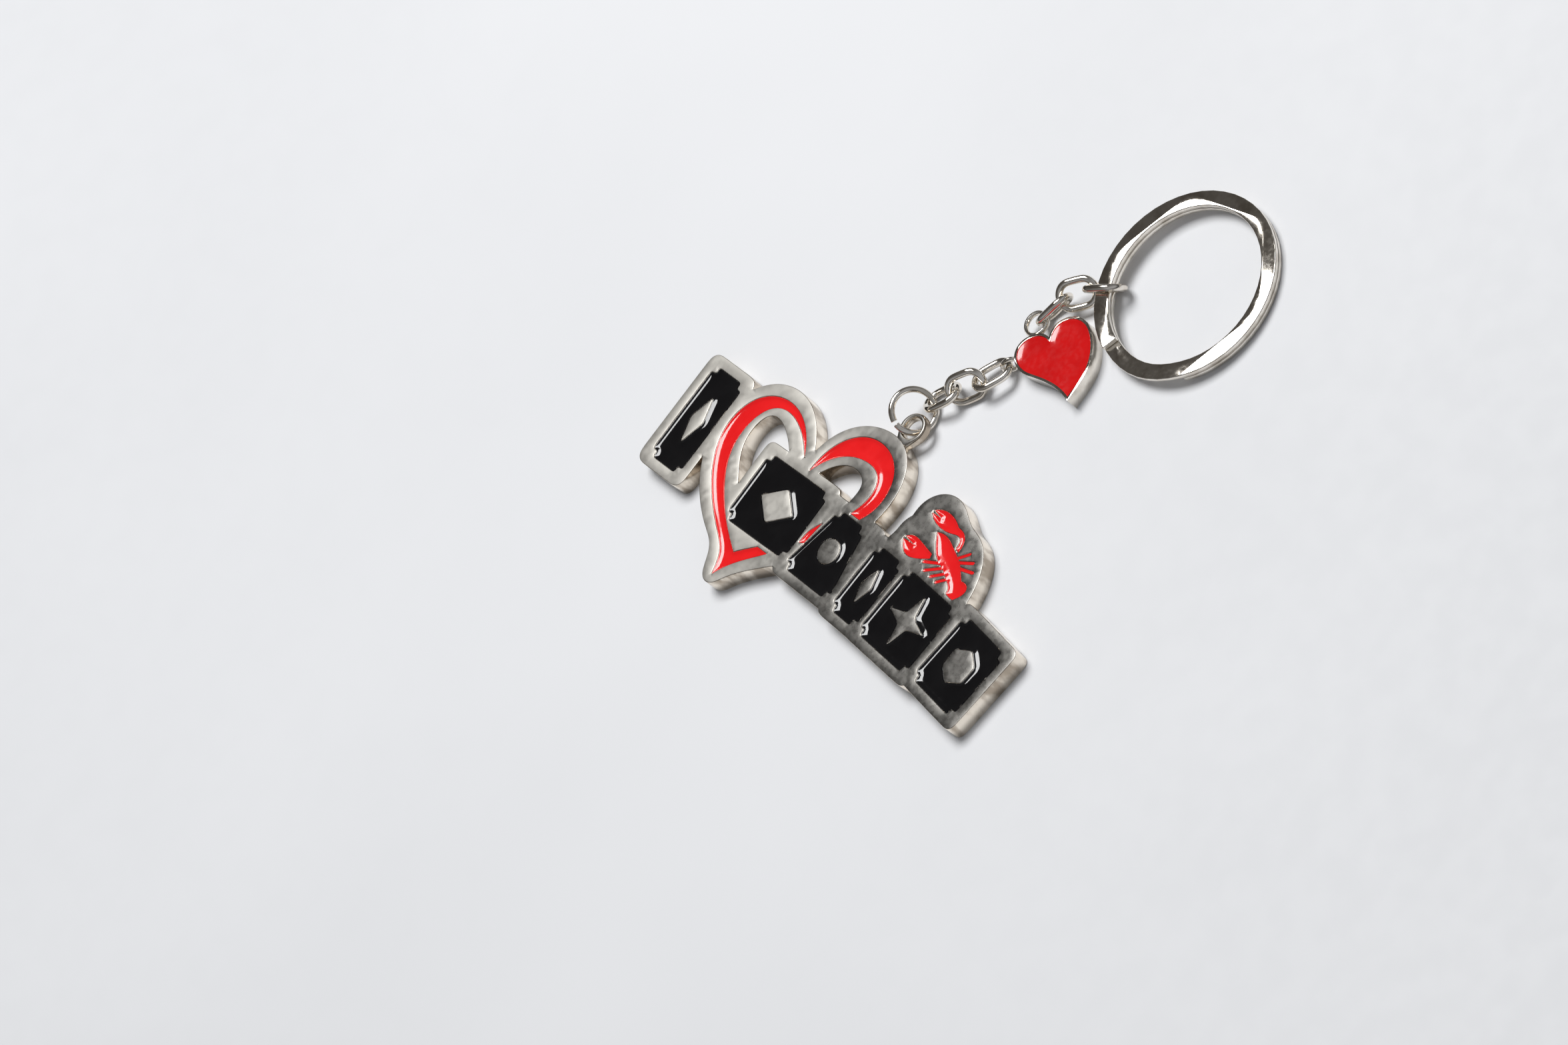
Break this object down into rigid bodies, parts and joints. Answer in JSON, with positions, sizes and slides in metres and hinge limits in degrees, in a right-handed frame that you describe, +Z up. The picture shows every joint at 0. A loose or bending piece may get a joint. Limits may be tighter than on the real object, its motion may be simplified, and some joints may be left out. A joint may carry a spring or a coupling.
{
  "type": "keychain",
  "caption": "Enamelled souvenir plate with a heart and a lobster, on a short chain with a heart charm and a flat split ring for keys.",
  "frame": {"origin": "middle of the bottom of the box of the whole keychain, laid flat", "axes": "+X along the row of tiles from the tall tile, +Y across the row towards the split ring, +Z up from the table"},
  "size_m": [0.0808, 0.0842, 0.0053],
  "materials": {
    "cast_nickel": "nickel-plated zinc casting, satin and slightly mottled face, polished edges",
    "polished_nickel": "bright nickel plate",
    "black_enamel": "gloss soft enamel, dished in its cell",
    "red_enamel": "gloss soft enamel, dished in its cell",
    "charm_red_enamel": "gloss enamel, slightly translucent"
  },
  "bodies": {
    "pendant": {"pendant_plate": "cast_nickel", "tall_tile_enamel": "black_enamel", "tile_1_enamel": "black_enamel", "tile_2_enamel": "black_enamel", "tile_3_enamel": "black_enamel", "tile_4_enamel": "black_enamel", "tile_5_enamel": "black_enamel", "heart_left_enamel": "red_enamel", "heart_right_enamel": "red_enamel", "heart_sliver_enamel": "red_enamel", "lobster_upper_claw_enamel": "red_enamel", "lobster_lower_claw_enamel": "red_enamel", "lobster_body_enamel": "red_enamel"},
    "jump_ring": {"jump_ring": "polished_nickel"},
    "chain_link_1": {"chain_link_1": "polished_nickel"},
    "chain_link_2": {"chain_link_2": "polished_nickel"},
    "chain_link_3": {"chain_link_3": "polished_nickel"},
    "chain_link_4": {"chain_link_4": "polished_nickel"},
    "chain_link_5": {"chain_link_5": "polished_nickel"},
    "chain_link_6": {"chain_link_6": "polished_nickel"},
    "charm": {"charm_body": "polished_nickel", "charm_enamel": "charm_red_enamel"},
    "split_ring": {"split_ring": "polished_nickel"}
  },
  "joints": [
    {"name": "jump_ring_in_ear", "type": "hinge", "parent": "pendant", "child": "jump_ring", "pos_m": [-0.0011, -0.00869, 0.00195], "axis": [0, 0, 1], "range_deg": [-45, 40]},
    {"name": "link_1_on_jump_ring", "type": "hinge", "parent": "jump_ring", "child": "chain_link_1", "pos_m": [-0.0022, -0.00408, 0.00127], "axis": [-0.7289, 0.4188, 0.5417], "range_deg": [-45, 40]},
    {"name": "link_2_on_link_1", "type": "hinge", "parent": "chain_link_1", "child": "chain_link_2", "pos_m": [0.00079, -0.00109, 0.00194], "axis": [-0.601, 0.691, -0.4017], "range_deg": [-45, 40]},
    {"name": "link_3_on_link_2", "type": "hinge", "parent": "chain_link_2", "child": "chain_link_3", "pos_m": [0.00348, 0.00212, 0.00194], "axis": [-0.5321, 0.4465, 0.7193], "range_deg": [-35, 30]},
    {"name": "charm_on_link_3", "type": "hinge", "parent": "chain_link_3", "child": "charm", "pos_m": [0.00543, 0.00579, 0.00158], "axis": [-0.8666, 0.4369, -0.241], "range_deg": [-45, 40]},
    {"name": "link_4_on_charm", "type": "hinge", "parent": "charm", "child": "chain_link_4", "pos_m": [0.00589, 0.01396, 0.00195], "axis": [-0.9135, 0.4067, 0], "range_deg": [-35, 40]},
    {"name": "link_5_on_link_4", "type": "hinge", "parent": "chain_link_4", "child": "chain_link_5", "pos_m": [0.00759, 0.01779, 0.00284], "axis": [-0.4407, 0.3849, -0.8109], "range_deg": [-60, 5]},
    {"name": "link_6_on_link_5", "type": "hinge", "parent": "chain_link_5", "child": "chain_link_6", "pos_m": [0.01047, 0.02077, 0.00233], "axis": [-0.5407, 0.6193, 0.5693], "range_deg": [-10, 40]},
    {"name": "split_ring_through_link_6", "type": "hinge", "parent": "chain_link_6", "child": "split_ring", "pos_m": [0.02314, 0.02809, 0.0016], "axis": [0.0453, 0.0262, 0.9986], "continuous": true}
  ]
}
